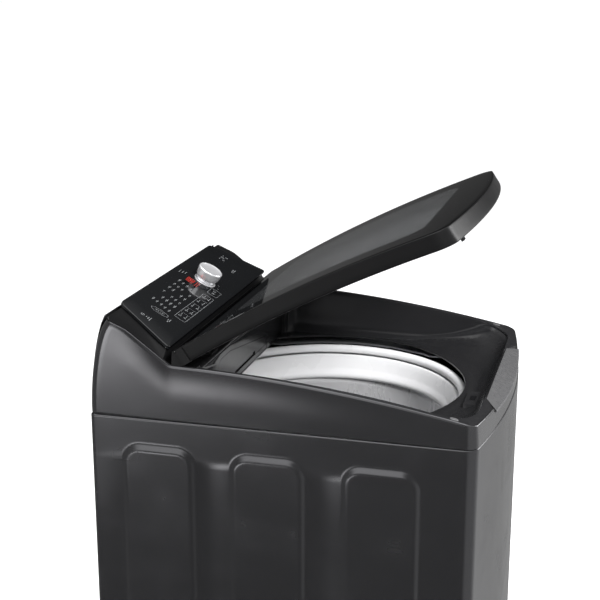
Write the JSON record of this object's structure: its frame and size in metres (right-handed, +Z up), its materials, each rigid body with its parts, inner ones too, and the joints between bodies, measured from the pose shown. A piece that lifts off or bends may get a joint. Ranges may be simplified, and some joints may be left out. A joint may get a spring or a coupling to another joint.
{
  "type": "top load washing machine",
  "caption": "Free-standing top load washing machine with a lifting lid, sloped touch and knob panel, steel basket and pulsator on a sprung tub, and a detergent drawer.",
  "frame": {"origin": "on the floor under the middle of the machine's bounding box", "axes": "+Z up, -Y towards the user in front, +X to the user's right"},
  "size_m": [0.568, 0.659, 1.1985],
  "materials": {
    "black_gloss": "gloss black",
    "black_satin": "satin black",
    "board": "green circuit board",
    "chrome": "polished",
    "cover_paint": "dark graphite satin paint",
    "grey_plastic": "mid grey",
    "led": "red display",
    "light_plastic": "light grey",
    "rubber": "black",
    "smoked_glass": "smoked glass, black printed border",
    "stainless": "perforated, satin",
    "steel_paint": "dark graphite satin paint",
    "zinc": "zinc plated"
  },
  "bodies": {
    "cabinet": {"base_frame": "black_satin", "bumper_left": "grey_plastic", "bumper_right": "grey_plastic", "cabinet_wrap": "steel_paint", "console_housing": "black_gloss", "control_board": "board", "control_panel": "black_gloss", "cord_gland": "rubber", "dispenser_housing": "black_satin", "display_window": "led", "drain_spigot": "grey_plastic", "hinge_bracket_left": "black_satin", "hinge_bracket_right": "black_satin", "inlet_valve": "light_plastic", "knob_ring": "chrome", "lid_lock": "black_satin", "rear_panel": "zinc", "scoop_insert": "grey_plastic", "spring_front_left": "zinc", "spring_front_right": "zinc", "spring_rear_left": "zinc", "spring_rear_right": "zinc", "suspension_rod_front_left": "zinc", "suspension_rod_front_right": "zinc", "suspension_rod_rear_left": "zinc", "suspension_rod_rear_right": "zinc", "top_cover": "cover_paint", "top_frame": "zinc", "valve_plate": "black_satin"},
    "lid": {"lid_frame": "black_satin", "lid_glass": "smoked_glass", "lid_striker": "black_satin", "hinge_pin_left": "zinc", "hinge_pin_right": "zinc"},
    "knob": {"knob": "chrome"},
    "drawer": {"detergent_drawer": "black_satin", "softener_cap": "grey_plastic"},
    "tub": {"outer_tub": "light_plastic", "tub_cover": "light_plastic", "tub_seal": "rubber", "drive_bracket": "zinc", "gear_case": "zinc", "motor": "zinc", "drive_belt": "rubber", "drain_valve": "light_plastic"},
    "spin_basket": {"basket": "stainless", "balance_ring": "light_plastic", "basket_base": "light_plastic", "lint_filter_left": "grey_plastic", "lint_filter_right": "grey_plastic", "spin_shaft": "zinc"},
    "wash_pulsator": {"pulsator": "light_plastic", "pulsator_cap": "grey_plastic", "wash_shaft": "zinc"},
    "spin_pulley": {"drive_pulley": "zinc"},
    "rotor": {"motor_pulley": "zinc"},
    "leg_front_left": {"foot_front_left": "rubber"},
    "leg_front_right": {"foot_front_right": "rubber"},
    "leg_rear_left": {"foot_rear_left": "rubber"},
    "leg_rear_right": {"foot_rear_right": "rubber"}
  },
  "joints": [
    {"name": "lid_hinge", "type": "hinge", "parent": "cabinet", "child": "lid", "pos_m": [0, 0.171, 0.956], "axis": [-1, 0, 0], "range_deg": [-34.1, 50]},
    {"name": "knob_turn", "type": "hinge", "parent": "cabinet", "child": "knob", "pos_m": [0.05, 0.24342, 0.99838], "axis": [0, -0.4944, 0.8692], "continuous": true},
    {"name": "drawer_slide", "type": "slide", "parent": "cabinet", "child": "drawer", "axis": [0, -1, 0], "range_m": [0, 0.1]},
    {"name": "tub_suspension", "type": "slide", "parent": "cabinet", "child": "tub", "axis": [0, 0, 1], "range_m": [-0.025, 0.005], "stiffness_N_per_m": 12000, "springref_m": 0.02634, "deforming": ["spring_front_left", "spring_front_right", "spring_rear_left", "spring_rear_right"]},
    {"name": "basket_spin", "type": "hinge", "parent": "tub", "child": "spin_basket", "pos_m": [0, 0, 0.5], "axis": [0, 0, 1], "continuous": true},
    {"name": "pulsator_spin", "type": "hinge", "parent": "tub", "child": "wash_pulsator", "pos_m": [0, 0, 0.33], "axis": [0, 0, 1], "continuous": true},
    {"name": "drive_pulley_spin", "type": "hinge", "parent": "tub", "child": "spin_pulley", "pos_m": [0, 0, 0.15], "axis": [0, 0, 1], "continuous": true},
    {"name": "motor_spin", "type": "hinge", "parent": "tub", "child": "rotor", "pos_m": [0, 0.178, 0.15], "axis": [0, 0, 1], "continuous": true},
    {"name": "level_front_left", "type": "slide", "parent": "cabinet", "child": "leg_front_left", "axis": [0, 0, -1], "range_m": [0, 0.012]},
    {"name": "level_front_right", "type": "slide", "parent": "cabinet", "child": "leg_front_right", "axis": [0, 0, -1], "range_m": [0, 0.012]},
    {"name": "level_rear_left", "type": "slide", "parent": "cabinet", "child": "leg_rear_left", "axis": [0, 0, -1], "range_m": [0, 0.012]},
    {"name": "level_rear_right", "type": "slide", "parent": "cabinet", "child": "leg_rear_right", "axis": [0, 0, -1], "range_m": [0, 0.012]}
  ],
  "couplings": [
    {"joint": "drive_pulley_spin", "follows": "pulsator_spin", "ratio": 4},
    {"joint": "motor_spin", "follows": "pulsator_spin", "ratio": 11.667}
  ]
}
